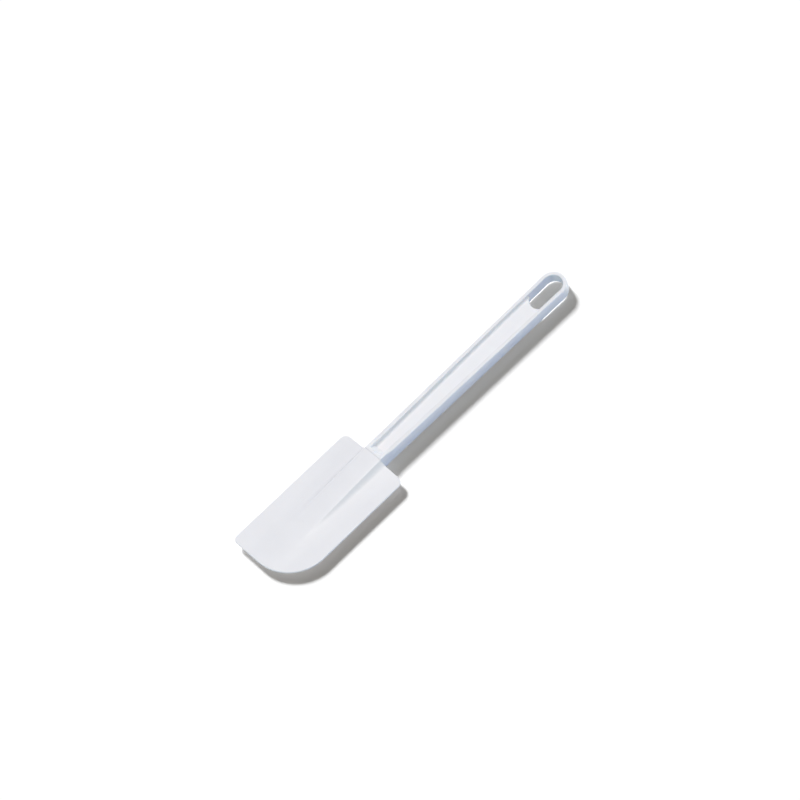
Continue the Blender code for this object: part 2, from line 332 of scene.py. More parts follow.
tip_edge = np.stack([np.full(len(columns), TIP_X), plan[0, :, 1]], -1)
root_edge = np.stack([np.full(len(columns), ROOT_X), plan[-1, :, 1]], -1)
towards_root = np.broadcast_to([1.0, 0.0], root_edge.shape)
blade_patches = [
    *blade_faces,
    rim_band(swept, swept_out, rise[:, 0]),
    rim_band(square, square_out, rise[:, -1]),
    rim_band(tip_edge, -towards_root, rise[0]),
    *root_wall(rim_band(root_edge, towards_root, rise[-1], root_radius), plan[-1, :, 1]),
]
blade_mesh = sew("blade_moulding", blade_patches)
blade = add_piece("blade_moulding", blade_mesh, "blade", "blade")


def surface_curvature(mesh):
    """Keeps on each point, as an attribute, how sharply the surface turns there, in radians a metre.

    Along an edge to a neighbour it is twice the drop below the point's tangent plane over the edge's length
    squared. A point keeps the mean over its edges: more than 0 on an outer corner, less in an inner one.
    """
    count = len(mesh.vertices)
    points, normals = np.empty((count, 3)), np.empty((count, 3))
    ends = np.empty((len(mesh.edges), 2), dtype=int)
    mesh.vertices.foreach_get("co", points.ravel())
    mesh.vertices.foreach_get("normal", normals.ravel())
    mesh.edges.foreach_get("vertices", ends.ravel())
    first, second = np.concatenate([ends, ends[:, ::-1]]).T
    step = points[second] - points[first]
    bend = -2 * (normals[first] * step).sum(1) / (step**2).sum(1)
    total = np.bincount(first, bend, count) / np.bincount(first, minlength=count)
    mesh.attributes.new("curvature", "FLOAT", "POINT").data.foreach_set("value", total)


def add_node(tree, kind, inputs=None, **settings):
    """A node with these settings. An input takes a number, a colour or another node's output."""
    node = tree.nodes.new(kind)
    for name, value in settings.items():
        setattr(node, name, value)
    for name, value in (inputs or {}).items():
        if isinstance(name, str):
            socket = next(s for s in node.inputs if s.name == name and s.enabled)
        else:
            socket = node.inputs[name]
        if isinstance(value, bpy.types.NodeSocket):
            tree.links.new(value, socket)
        else:
            socket.default_value = value
    return node


def result(node, name=None):
    """The node's output of this name, or else the first that is in use."""
    return next(s for s in node.outputs if s.enabled and name in (None, s.name))


def calculate(tree, operation, *values):
    """The output of a Math node on these numbers or outputs."""
    return result(add_node(tree, "ShaderNodeMath", dict(enumerate(values)), operation=operation))


def noise(tree, vector, scale, detail=2.0, roughness=0.5):
    """The output of a noise texture, about 0.5 on average."""
    inputs = {"Vector": vector, "Scale": scale, "Detail": detail, "Roughness": roughness}
    return result(add_node(tree, "ShaderNodeTexNoise", inputs))


def ramp(tree, value, low, high, to_low=0.0, to_high=1.0):
    """A smooth step: to_low below low, to_high above high."""
    inputs = {"Value": value, "From Min": low, "From Max": high, "To Min": to_low, "To Max": to_high}
    return result(add_node(tree, "ShaderNodeMapRange", inputs, interpolation_type="SMOOTHSTEP"))


def add_up(tree, start, parts):
    """The start plus each output times its weight."""
    for value, weight in parts:
        start = calculate(tree, "MULTIPLY_ADD", value, weight, start)
    return start


def lay_over(tree, colour, layers):
    """Colours laid over one another: each covers what lies below it by its output times its weight."""
    for value, weight, over in layers:
        inputs = {"Factor": calculate(tree, "MULTIPLY", value, weight), "A": colour, "B": over}
        colour = result(add_node(tree, "ShaderNodeMix", inputs, data_type="RGBA"))
    return colour


def new_group(name, inputs, outputs):
    """A shader node group with these number inputs, and a Vector where the name says so."""
    group = bpy.data.node_groups.new(name, "ShaderNodeTree")
    for label, value in inputs.items():
        kind = "NodeSocketVector" if label == "Vector" else "NodeSocketFloat"
        socket = group.interface.new_socket(name=label, in_out="INPUT", socket_type=kind)
        if value is not None:
            socket.default_value = value
    for label in outputs:
        group.interface.new_socket(name=label, in_out="OUTPUT", socket_type="NodeSocketFloat")
    return group, group.nodes.new("NodeGroupInput").outputs, group.nodes.new("NodeGroupOutput").inputs


# The grain: the orange peel's scale against the grain's, and the grain's share of the two
PEEL_SCALE = 0.3
GRAIN_SHARE = 0.4


def moulded_grain_group():
    """The fine grain that the mould's steel leaves on a moulding: a soft orange peel under a grain a third
    as wide. It puts out a height in metres and a faint share of light and shade."""
    inputs = {"Vector": None, "Scale": 900.0, "Depth": 0.00001}
    group, given, made = new_group("moulded_grain", inputs, ("Height", "Shade"))
    peel_scale = calculate(group, "MULTIPLY", given["Scale"], PEEL_SCALE)
    peel = noise(group, given["Vector"], peel_scale, detail=1.0)
    grain = noise(group, given["Vector"], given["Scale"], detail=3.0, roughness=0.6)
    mixed = add_up(group, 0.0, [(peel, 1 - GRAIN_SHARE), (grain, GRAIN_SHARE)])
    group.links.new(calculate(group, "MULTIPLY", mixed, given["Depth"]), made["Height"])
    group.links.new(mixed, made["Shade"])
    return group


# Hairlines: the two ways they run, their stretch, scale and width, and the noise levels of their patches
HAIRLINE_TURNS = (1.0, -1.3)
HAIRLINE_STRETCH = (0.06, 1.0, 0.7)
HAIRLINE_SCALE = 30.0
HAIRLINE_WIDTH = 0.012
HAIRLINE_PATCHES = (0.52, 0.7)
RUBBED_SCALE = 0.5
RUBBED_PATCHES = (0.45, 0.75)


def handling_marks_group():
    """Hairlines and rubbed patches from use and washing. A hairline is where a long-drawn noise crosses its
    middle level, and it shows only in patches."""
    inputs = {"Vector": None, "Scale": 60.0, "Turn": 0.6}
    group, given, made = new_group("handling_marks", inputs, ("Hairlines", "Rubbed"))
    patchy = ramp(group, noise(group, given["Vector"], given["Scale"], detail=3.0), *HAIRLINE_PATCHES)
    line_scale = calculate(group, "MULTIPLY", given["Scale"], HAIRLINE_SCALE)
    lines = 0.0
    for side in HAIRLINE_TURNS:
        turn = calculate(group, "MULTIPLY", given["Turn"], side)
        angle = add_node(group, "ShaderNodeCombineXYZ", {"Z": turn})
        inputs = {"Vector": given["Vector"], "Rotation": result(angle)}
        turned = add_node(group, "ShaderNodeVectorRotate", inputs, rotation_type="EULER_XYZ")
        inputs = {0: result(turned), 1: HAIRLINE_STRETCH}
        stretched = add_node(group, "ShaderNodeVectorMath", inputs, operation="MULTIPLY")
        value = noise(group, result(stretched), line_scale, detail=1.0)
        near = calculate(group, "ABSOLUTE", calculate(group, "SUBTRACT", value, 0.5))
        lines = calculate(group, "MAXIMUM", lines, ramp(group, near, 0.0, HAIRLINE_WIDTH, 1.0, 0.0))
    rubbed_scale = calculate(group, "MULTIPLY", given["Scale"], RUBBED_SCALE)
    rubbed = ramp(group, noise(group, given["Vector"], rubbed_scale, detail=4.0), *RUBBED_PATCHES)
    group.links.new(calculate(group, "MULTIPLY", lines, patchy), made["Hairlines"])
    group.links.new(rubbed, made["Rubbed"])
    return group


# Worn outer corners and painted shade in inner ones: the noise levels of the wear's patches, and the
# sharpness at which each kind starts and is full
WEAR_PATCHES = (0.35, 0.7)
OUTER_WEAR = (0.4, 1.0)
INNER_SHADE = (0.2, 0.8)


def wear_and_shade_group():
    """Rubbed outer corners, and painted shade in inner ones, from the curvature kept on the mesh: each a step
    over the sharpness, the outer one broken up by noise."""
    inputs = {"Vector": None, "Scale": 400.0, "Sharpness": 500.0}
    group, given, made = new_group("corner_wear_and_shade", inputs, ("Outer", "Inner"))
    curvature = result(add_node(group, "ShaderNodeAttribute", attribute_name="curvature"), "Fac")
    patchy = ramp(group, noise(group, given["Vector"], given["Scale"], detail=4.0), *WEAR_PATCHES)
    turn = calculate(group, "DIVIDE", curvature, given["Sharpness"])
    group.links.new(calculate(group, "MULTIPLY", ramp(group, turn, *OUTER_WEAR), patchy), made["Outer"])
    # Inner corners: painted shade, darker the more sharply the surface turns inwards
    group.links.new(ramp(group, calculate(group, "MULTIPLY", turn, -1.0), *INNER_SHADE), made["Inner"])
    return group


# A speck is solid to this share of its size, and has faded at the whole
SPECK_EDGE = (0.6, 1.0)


def specks_group():
    """Dust and the odd dark speck in the melt: small round spots about the points of a cell pattern, where
    the cell's own random value is high."""
    inputs = {"Vector": None, "Scale": 250.0, "Size": 0.08, "Share": 0.1}
    group, given, made = new_group("specks", inputs, ("Specks",))
    cells = add_node(group, "ShaderNodeTexVoronoi", {"Vector": given["Vector"], "Scale": given["Scale"]})
    from_point = calculate(group, "DIVIDE", result(cells, "Distance"), given["Size"])
    spot = ramp(group, from_point, *SPECK_EDGE, 1.0, 0.0)
    chance = result(add_node(group, "ShaderNodeSeparateColor", {"Color": result(cells, "Color")}), "Red")
    kept = calculate(group, "LESS_THAN", chance, given["Share"])
    group.links.new(calculate(group, "MULTIPLY", spot, kept), made["Specks"])
    return group


GRAIN = moulded_grain_group()
HANDLING = handling_marks_group()
CORNERS = wear_and_shade_group()
SPECKS = specks_group()


def place_group(tree, group, **inputs):
    """A shared group's outputs, with the material's own values for its inputs."""
    return add_node(tree, "ShaderNodeGroup", inputs, node_tree=group).outputs


def new_material(name, **constants):
    """A material, its tree, its shader with these constants set, and the Object coordinates."""
    material = bpy.data.materials.new(name)
    material.use_nodes = True
    tree = material.node_tree
    shader = tree.nodes["Principled BSDF"]
    for label, value in constants.items():
        shader.inputs[label].default_value = value
    return material, tree, shader, result(add_node(tree, "ShaderNodeTexCoord"), "Object")


def feed_shader(tree, shader, colour, rough, height):
    """Gives the shader its colour and roughness, and the relief as a bumped normal."""
    tree.links.new(colour, shader.inputs["Base Color"])
    tree.links.new(rough, shader.inputs["Roughness"])
    bump = add_node(tree, "ShaderNodeBump", {"Height": height, "Strength": 0.5, "Distance": 1.0})
    tree.links.new(result(bump), shader.inputs["Normal"])


RUBBER_WHITE = (0.813, 0.825, 0.85, 1)
# Darker rubber for the clouds, and for the painted shade in inner corners
RUBBER_CLOUD_AND_SHADE = (0.763, 0.775, 0.80, 1)
RUBBER_RUBBED = (0.843, 0.855, 0.875, 1)
RUBBER_SPECK = (0.42, 0.41, 0.40, 1)
RUBBER_ROUGHNESS = 0.38
CLOUD_SCALE = 35.0
CLOUD_LEVELS = (0.35, 0.7)


def blade_rubber():
    """Matt white rubber: a percent or two cloudy where its filler gathers, dusty, rubbed at outer corners,
    and with painted shade in inner ones.
    """
    material, tree, shader, place = new_material("blade_rubber", **{
        "IOR": 1.5,
        "Subsurface Weight": 0.12,
        "Subsurface Radius": (1.0, 0.9, 0.8),
        "Subsurface Scale": 0.0012,
    })
    grain = place_group(tree, GRAIN, Vector=place, Scale=1500.0, Depth=0.000012)
    marks = place_group(tree, HANDLING, Vector=place, Scale=45.0, Turn=1.2)
    corners = place_group(tree, CORNERS, Vector=place, Scale=500.0, Sharpness=700.0)
    specks = place_group(tree, SPECKS, Vector=place, Scale=220.0, Size=0.05, Share=0.06)
    clouds = ramp(tree, noise(tree, place, CLOUD_SCALE, detail=4.0, roughness=0.6), *CLOUD_LEVELS)

    colour = lay_over(tree, RUBBER_WHITE, [
        (clouds, 0.35, RUBBER_CLOUD_AND_SHADE),
        # Painted shade in the inner corners
        (corners["Inner"], 0.5, RUBBER_CLOUD_AND_SHADE),
        (corners["Outer"], 0.6, RUBBER_RUBBED),
        (specks["Specks"], 0.5, RUBBER_SPECK),
    ])
    rough = add_up(tree, RUBBER_ROUGHNESS, [
        (grain["Shade"], 0.10),
        (marks["Rubbed"], -0.07),
        (corners["Outer"], -0.06),
        (marks["Hairlines"], 0.10),
    ])
    height = add_up(tree, grain["Height"], [(marks["Hairlines"], -0.000006), (specks["Specks"], 0.00002)])
    feed_shader(tree, shader, colour, rough, height)
    return material


surface_curvature(blade.data)
blade.data.materials.append(blade_rubber())


# The handle is one moulding of white polypropylene: a collar and tang for the blade, a shank of two rails
# joined by a thin web, and a loop to hang it by. Its mould parts along the mid-plane, and pins push it out
# by the web.

handle_low, handle_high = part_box("handle")
SEAM_INSET = 0.00004
COLLAR_FACE = ROOT_X - SEAM_INSET
LOOP_RADIUS = handle_high.y
LOOP_CENTRE = handle_high.x - LOOP_RADIUS
RAIL_WIDTH = 0.0024
INNER_RADIUS = LOOP_RADIUS - RAIL_WIDTH
RAIL_GAIN = 0.0007
RAIL_EVEN_X = 0.0750

COLLAR_HALF_WIDTH = 0.0067
COLLAR_LENGTH = 0.0053
COLLAR_BLEND = 0.0030
SHANK_HALF_WIDTH = 0.0071
COLLAR_THICKNESS = handle_high.z - handle_low.z
SHANK_THICKNESS = 0.0087
LOOP_THICKNESS = 0.0076

WEB_THICKNESS = 0.0020
RECESS_START = 0.0020
RECESS_STEP = 0.0005
STEP_HALF_LENGTH = 0.0001
STEP_SOFTNESS = 0.00008
RAMP_LENGTH = 0.0033
RECESS_CORNER = 0.0008
SLOT_LENGTH = 0.0232
WEB_END_RADIUS = 0.0065
WEB_END_ROUND = 0.0004
WEB_END_POWER = 4
WEB_BEND = 0.0150

OUTER_ROUND = 0.0006
INNER_ROUND = 0.0007
FILLET = 0.0016
FOLD_SOFTNESS = 0.0004
EASING_SAMPLES = 9
DRAFT = math.tan(math.radians(0.7))
RECESS_DRAFT = math.tan(math.radians(9.0))
SINK_DEPTH = 0.00003
SINK_HALF_WIDTH = 0.0012

TANG_ROOT = (0.0047, 0.0028)
TANG_TIP = (0.0035, 0.0015)
TANG_LENGTH = 0.0437
TANG_FILLET = 0.0003
FACE_ROUND = 0.00012

PIN_MARKS = (0.018, 0.052, 0.086)
PIN_RADIUS = 0.0018
PIN_DEPTH = 0.00010
PIN_EDGE = 0.00010
PIN_SPREAD = 0.45
GATE_PLACE = 0.0690
GATE_RADIUS = 0.0007
GATE_HEIGHT = 0.00030

# Where the collar starts, where it ends, and where the shank has its own size
COLLAR_FOLDS = COLLAR_FACE + np.array([0, COLLAR_LENGTH, COLLAR_LENGTH + COLLAR_BLEND])
SHANK_RUN = LOOP_CENTRE - COLLAR_FOLDS[2]
SHANK_SPAN = math.hypot(SHANK_RUN, SHANK_HALF_WIDTH)
LEAN = math.asin(LOOP_RADIUS / SHANK_SPAN) - math.atan2(SHANK_HALF_WIDTH, SHANK_RUN)
WEB_END_CENTRE = handle_high.x - RAIL_WIDTH - SLOT_LENGTH + WEB_END_RADIUS

# The rail's profile by column: its outer wall and edge, its level top, and the foot of its inner wall
OUTSIDE_COLUMNS = 19
LEVEL_COLUMNS = 6
FOOT = 37

# The profile's points as shares of each part, and the most of the recess's depth that a rounding takes
WALL_LEVELS = (0, 0.008, 0.016, 0.03, 0.08, 0.2, 0.35, 0.5, 0.65, 0.8, 0.93, 1.0)
TOP_SHARES = (0.08, 0.3, 0.5, 0.7, 0.92, 1.0)
FACE_SHARES = (0.06, 0.25, 0.5, 0.75, 0.94, 1.0)
ROUNDING_LIMIT = 0.45
WEB_END_LEVELS = (1.0, 0.985, 0.94, 0.87, 0.78, 0.66, 0.5, 0.3, 0.12, 0.06, 0.03)

# Stations from the collar's face on, then round each mark in the web, and evenly between them
COLLAR_STATIONS = np.concatenate([
    [FACE_ROUND, 0.0008, 0.0013],
    np.arange(0.00150, 0.00200, 0.00004),
    np.linspace(0.0021, 0.0050, 16),
    np.linspace(0.0052, 0.0085, 16),
])
MARK_REACH = 0.0025
MARK_CLEARANCE = 0.0027
MARK_STATIONS = 35
EVEN_START = 0.0090
EVEN_END = 0.0002
EVEN_STATIONS = 90
SHOULDER_COLUMNS = 8
MIDDLE_COLUMNS = 18

# Stations along the tang, round its tip, along the loop's straight sides and round its end. The web's end
# fades out of the loop over the first share of the straight side
TANG_STATIONS = 30
TANG_ROUND_POINTS = 6
FADE_SHARE = 0.2
STRAIGHT_SHARES = np.concatenate([np.linspace(0, FADE_SHARE, 9), np.linspace(0.25, 1, 14)])[:-1]
LOOP_STATIONS = 73


def eased_line(x, places, values, softness):
    """A broken line through these places and values, its corners rounded by averaging over a stretch."""
    shifts = np.linspace(-softness, softness, EASING_SAMPLES)
    return np.mean([np.interp(x + shift, places, values) for shift in shifts], axis=0)


def handle_half_thickness(x):
    """Half the handle's thickness at x: level collar, short blend, then an even taper to the loop's end."""
    thicknesses = [COLLAR_THICKNESS, COLLAR_THICKNESS, SHANK_THICKNESS, LOOP_THICKNESS]
    return eased_line(x, [*COLLAR_FOLDS, handle_high.x], thicknesses, FOLD_SOFTNESS) / 2


def rail_side(x, radius):
    """The y of the straight side that is tangent to a circle of this radius about the loop's centre. The
    lean is the angle at which the shank widens towards the loop."""
    return (radius - (LOOP_CENTRE - x) * math.sin(LEAN)) / math.cos(LEAN)


def floor_half_thickness(x):
    """Half the thickness between the rails: the collar's at its face, a step down, a ramp and the web's."""
    start = COLLAR_FACE + RECESS_START
    collar = COLLAR_THICKNESS / 2
    places = [start - STEP_HALF_LENGTH, start + STEP_HALF_LENGTH, start + RAMP_LENGTH]
    return eased_line(x, places, [collar, collar - RECESS_STEP, WEB_THICKNESS / 2], STEP_SOFTNESS)


def rail_profile(top, floor, inner_draft):
    """From the mid-plane up the rail's outer wall, over its top and down to the foot of its fillet on the
    floor: the radius about the loop's centre and the height, as rows for each top and columns along the
    profile.

    The walls lean by the mould's draft, which is steeper in the recess. The outer wall has a line of flash
    at the mid-plane and is sunk a little beside the web, where the plastic shrank. The round edges are
    quarter ellipses, flat where there is no recess.
    """
    turn = np.linspace(0, QUARTER_TURN, ROUND_POINTS)[1:]
    depth = np.maximum(top - floor, 0)
    edge = np.minimum(INNER_ROUND, ROUNDING_LIMIT * depth)
    foot = np.minimum(FILLET, ROUNDING_LIMIT * depth)

    wall_height = (top - OUTER_ROUND) * WALL_LEVELS
    flash = FLASH_HEIGHT * (np.exp(-(wall_height / FLASH_HALF_WIDTH) ** 2) - 1)
    sink = SINK_DEPTH * np.exp(-(wall_height / SINK_HALF_WIDTH) ** 2)
    wall_radius = LOOP_RADIUS + flash - sink - DRAFT * wall_height

    centre = wall_radius[:, -1:] - OUTER_ROUND
    outer_radius = centre + OUTER_ROUND * np.cos(turn)
    outer_height = top + OUTER_ROUND * (np.sin(turn) - 1)

    inner_wall_top = INNER_RADIUS + inner_draft * (depth - edge - foot)
    inner_start = inner_wall_top + INNER_ROUND
    level_radius = centre + (inner_start - centre) * TOP_SHARES
    level_height = top + 0 * level_radius

    edge_radius = inner_start - INNER_ROUND * np.sin(turn)
    edge_height = top - edge * (1 - np.cos(turn))

    face_height = (top - edge) + (floor + foot - top + edge) * FACE_SHARES
    face_radius = inner_wall_top + (INNER_RADIUS - inner_wall_top) * FACE_SHARES

    fillet_radius = INNER_RADIUS - FILLET * (1 - np.cos(turn)) + 0 * top
    fillet_height = floor + foot * (1 - np.sin(turn))
    radius = [wall_radius, outer_radius, level_radius, edge_radius, face_radius, fillet_radius]
    height = [wall_height, outer_height, level_height, edge_height, face_height, fillet_height]
    return np.hstack(radius), np.hstack(height)


def web_end(y, radius):
    """The x of the web's hollow round end at y, for a circle of this radius."""
    return WEB_END_CENTRE - np.sqrt(radius**2 - y**2)


# The rail's inner side meets the web's round end here, as four rounds of the two formulas find
RAIL_END = WEB_END_CENTRE
for _ in range(4):
    RAIL_END = web_end(rail_side(RAIL_END, INNER_RADIUS), WEB_END_RADIUS + WEB_END_ROUND)


def pin_relief(x, y):
    """How far the web's lower face is sunk by the marks of the ejector pins, and raised by the broken-off
    gate. Each is a disc whose edge falls off along a smooth S."""
    relief = GATE_HEIGHT * (1 - np.tanh((np.hypot(x - GATE_PLACE, y) - GATE_RADIUS) / PIN_EDGE)) / 2
    for place in PIN_MARKS:
        relief = relief - PIN_DEPTH * (1 - np.tanh((np.hypot(x - place, y) - PIN_RADIUS) / PIN_EDGE)) / 2
    return relief


def shank_stations():
    """Places along the shank, closest at the collar's folds, the recess's step and the pins' marks."""
    marks = np.array([*PIN_MARKS, GATE_PLACE])[:, None]
    near_marks = marks + np.linspace(-MARK_REACH, MARK_REACH, MARK_STATIONS)
    even = np.linspace(COLLAR_FACE + EVEN_START, RAIL_END - EVEN_END, EVEN_STATIONS)
    clear = (np.abs(even - marks) > MARK_CLEARANCE).all(axis=0)
    stations = [COLLAR_FACE + COLLAR_STATIONS, near_marks.ravel(), even[clear], [RAIL_END]]
    return np.sort(np.concatenate(stations))[:, None]


def shank_quarter(x):
    """A quarter of the shank's surface, from the outer wall at the mid-plane up and over to the middle of
    the web: x, y and height by station and column.

    The columns of the rail follow its profile, and those of the web share out its width. Towards the web's
    end the stations bend until the last one follows its hollow round end.
    """
    near_end = np.clip((x - RAIL_END) / WEB_BEND + 1, 0, 1)
    inner_draft = RECESS_DRAFT + (DRAFT - RECESS_DRAFT) * near_end
    radius, height = rail_profile(handle_half_thickness(x), floor_half_thickness(x), inner_draft)
    columns = np.arange(radius.shape[1])
    inner_share = np.clip((columns - OUTSIDE_COLUMNS + 1) / LEVEL_COLUMNS, 0, 1)
    before = np.clip(COLLAR_FACE + RECESS_START + RECESS_CORNER - x, 0, RECESS_CORNER)
    corner = RECESS_CORNER - np.sqrt(RECESS_CORNER**2 - before**2)
    narrowing = COLLAR_HALF_WIDTH - rail_side(COLLAR_FOLDS, LOOP_RADIUS)
    step = eased_line(x, COLLAR_FOLDS, narrowing, FOLD_SOFTNESS)
    step = step * np.clip((COLLAR_FOLDS[2] - x) / COLLAR_BLEND, 0, 1)
    gain = RAIL_GAIN * np.clip((RAIL_EVEN_X - x) / (RAIL_EVEN_X - COLLAR_FACE), 0, 1)
    side = rail_side(x, radius) - (corner + gain) * inner_share + step * (1 - inner_share)

    beside_pins = np.linspace(1, PIN_SPREAD, SHOULDER_COLUMNS)[1:]
    over_pins = np.linspace(PIN_SPREAD, 0, MIDDLE_COLUMNS)[1:]
    web_y = side[:, -1:] * np.concatenate([beside_pins, over_pins])
    y = np.hstack([side, web_y])
    height = np.hstack([height, height[:, -1:] + 0 * web_y])

    rail_foot = y[-1, FOOT]
    ends = web_end(np.minimum(y[-1], rail_foot), WEB_END_RADIUS + WEB_END_ROUND) - RAIL_END
    return x + near_end**2 * ends, y, height


def shank_faces():
    """The shank's upper and lower surfaces from edge to edge, and the tang and the collar's face before
    them."""
    x, y, height = shank_quarter(shank_stations())
    x, height = [np.hstack([half, half[:, -2::-1]]) for half in (x, height)]
    y = np.hstack([y, -y[:, -2::-1]])
    on_floor = np.abs(y) < rail_side(x, INNER_RADIUS) - FILLET
    marks = np.where(on_floor & (height < WEB_THICKNESS), pin_relief(x, y), 0)
    upper = np.stack([x, y, height], -1)
    lower = np.stack([x, y, -height - marks], -1)
    return [np.vstack([tang_rows(face[0]), face]) + [0, 0, MID_PLANE] for face in (upper, lower)]


def tang_rows(collar_edge):
    """From the tang's tip to the collar: the collar's edge carried along x, its y and z each by a share.

    The shares grow round the tang's tip, with its even taper, round the fillet at its root, across the
    collar's face and round that face's edge.
    """
    half_y, half_z = np.abs(collar_edge[:, 1]).max(), np.abs(collar_edge[:, 2]).max()
    turn = np.linspace(0, QUARTER_TURN, TANG_ROUND_POINTS)
    tip = TANG_LENGTH - TANG_FILLET
    along = np.linspace(0, 1, TANG_STATIONS)[1:-1]
    x = np.concatenate([
        [-TANG_LENGTH],
        -tip - TANG_FILLET * np.cos(turn),
        -tip + (tip - TANG_FILLET) * along,
        -TANG_FILLET * (1 - np.sin(turn)),
        FACE_ROUND * (1 - np.cos(turn))[:-1],
    ])
    sizes = []
    for root, end, collar in zip(TANG_ROOT, TANG_TIP, (half_y, half_z)):
        sizes.append(np.concatenate([
            [0.0],
            end - TANG_FILLET * (1 - np.sin(turn)),
            end + (root - end) * along,
            root + TANG_FILLET * (1 - np.cos(turn)),
            collar - FACE_ROUND * (1 - np.sin(turn))[:-1],
        ]))
    y = np.outer(sizes[0] / half_y, collar_edge[:, 1])
    z = np.outer(sizes[1] / half_z, collar_edge[:, 2])
    return np.stack([COLLAR_FACE + x[:, None] + 0 * y, y, z], -1)


def web_end_rows(faces):
    """The web's hollow round end, from its upper to its lower face: each column keeps its y while x swells
    by the edges' rounding as the height falls, along a squared-off half ellipse."""
    upper, lower = faces[0][-1, FOOT:-FOOT], faces[1][-1, FOOT:-FOOT]
    half = np.array(WEB_END_LEVELS)
    level = np.concatenate([half, [0.0], -half[::-1]])[:, None]
    swell = (1 - level**WEB_END_POWER) ** (1 / WEB_END_POWER)
    y = upper[:, 1] + 0 * level
    x = web_end(y, WEB_END_RADIUS + WEB_END_ROUND * (1 - swell))
    middle = (upper[:, 2] + lower[:, 2]) / 2
    z = middle + (upper[:, 2] - lower[:, 2]) / 2 * level
    rows = np.stack([x, y, z], -1)
    rows[0], rows[-1] = upper, lower
    return rows


def loop_place(start_x, radius):
    """The loop's path at each radius: from the shank along the straight side at -Y, round the end, and back
    along the other. The straight side runs evenly from the shank to where it touches the circle."""
    along = STRAIGHT_SHARES[:, None]
    turn = QUARTER_TURN + LEAN
    angle = np.linspace(-turn, turn, LOOP_STATIONS)[:, None]
    start_y = rail_side(start_x, radius)
    touch_x, touch_y = LOOP_CENTRE - radius * math.sin(LEAN), radius * math.cos(LEAN)
    straight_x = start_x + (touch_x - start_x) * along
    straight_y = start_y + (touch_y - start_y) * along
    x = np.vstack([straight_x, LOOP_CENTRE + radius * np.cos(angle), straight_x[::-1]])
    y = np.vstack([-straight_y, radius * np.sin(angle), straight_y[::-1]])
    return x, y


def loop_faces(end_rows):
    """The rails from the web's end round the loop: the rail's whole section carried along the loop's path.

    Between the feet of the fillets the section starts as the web's end leaves it, and that start fades out
    along the first stretch into a flat inner wall with a line of flash.
    """
    start = np.full((1, 1), RAIL_END)
    top = handle_half_thickness(start)
    radius, height = rail_profile(top, floor_half_thickness(start), DRAFT)
    radius, height = radius[0, : FOOT + 1], height[0, : FOOT + 1]
    inner_height = end_rows[1:-1, 0, 2] - MID_PLANE
    inner_radius = INNER_RADIUS - FLASH_HEIGHT * np.exp(-(inner_height / FLASH_HALF_WIDTH) ** 2)
    ring_radius = np.concatenate([radius, inner_radius, radius[::-1]])
    ring_height = np.concatenate([height, inner_height, -height[::-1]])
    x, y = loop_place(RAIL_END, ring_radius)
    taper = handle_half_thickness(x.mean(axis=1, keepdims=True)) / top
    loop = np.stack([x, y, MID_PLANE + ring_height * taper], -1)

    fade = np.zeros((len(x), 1, 1))
    fade[: len(STRAIGHT_SHARES), 0, 0] = np.clip(1 - STRAIGHT_SHARES / FADE_SHARE, 0, 1) ** 2
    inner = slice(FOOT + 1, FOOT + 1 + len(inner_height))
    at_start = end_rows[1:-1, -1] - loop[0, inner]
    at_end = end_rows[1:-1, 0] - loop[-1, inner]
    loop[:, inner] += fade * at_start + fade[::-1] * at_end
    return loop


shank = shank_faces()
hollow_end = web_end_rows(shank)
handle_mesh = sew("handle_moulding", [*shank, hollow_end, loop_faces(hollow_end)])
handle = add_piece("handle_moulding", handle_mesh, "handle", "handle")

PLASTIC_WHITE = (0.845, 0.858, 0.883, 1)
# Darker plastic for the flow bands and the knit line, and for the painted shade in inner corners
PLASTIC_FLOW_AND_SHADE = (0.80, 0.813, 0.843, 1)
# Grey for the rails' tops: partly from the hand, partly painted shade
PLASTIC_GREY_AND_SHADE = (0.792, 0.805, 0.83, 1)
PLASTIC_RUBBED = (0.872, 0.885, 0.905, 1)
PLASTIC_SPECK = (0.35, 0.33, 0.30, 1)
PLASTIC_ROUGHNESS = 0.30

# The rails' tops are greyed, partly by the hand and partly as painted shade: the heights over the mid-plane
# and the upward shares of the normal between which it sets in, the scale and levels of its patches, and where
# behind the collar it starts
GREY_AND_SHADE_HEIGHTS = (0.0028, 0.0036)
GREY_AND_SHADE_FACING = (0.5, 0.9)
GREY_AND_SHADE_SCALE = 90.0
GREY_AND_SHADE_PATCHES = (0.2, 0.5)
COLLAR_GREYING = (COLLAR_FOLDS[1], COLLAR_FOLDS[1] + COLLAR_LENGTH)

# The flow bands: how their rings round the gate wander, how close they are, and where they fade and to what
BAND_WANDER_SCALE = 60.0
BAND_WANDER = 0.012
BAND_CLOSENESS = 700.0
BAND_FADE = (0.004, 0.045, 1.0, 0.25)

# The knit line wanders about y = 0, and shows only at the loop's end
KNIT_WANDER_SCALE = 500.0
KNIT_WANDER = 0.0006
KNIT_HALF_WIDTH = 0.0001
KNIT_REACH = (0.1175, 0.1185)


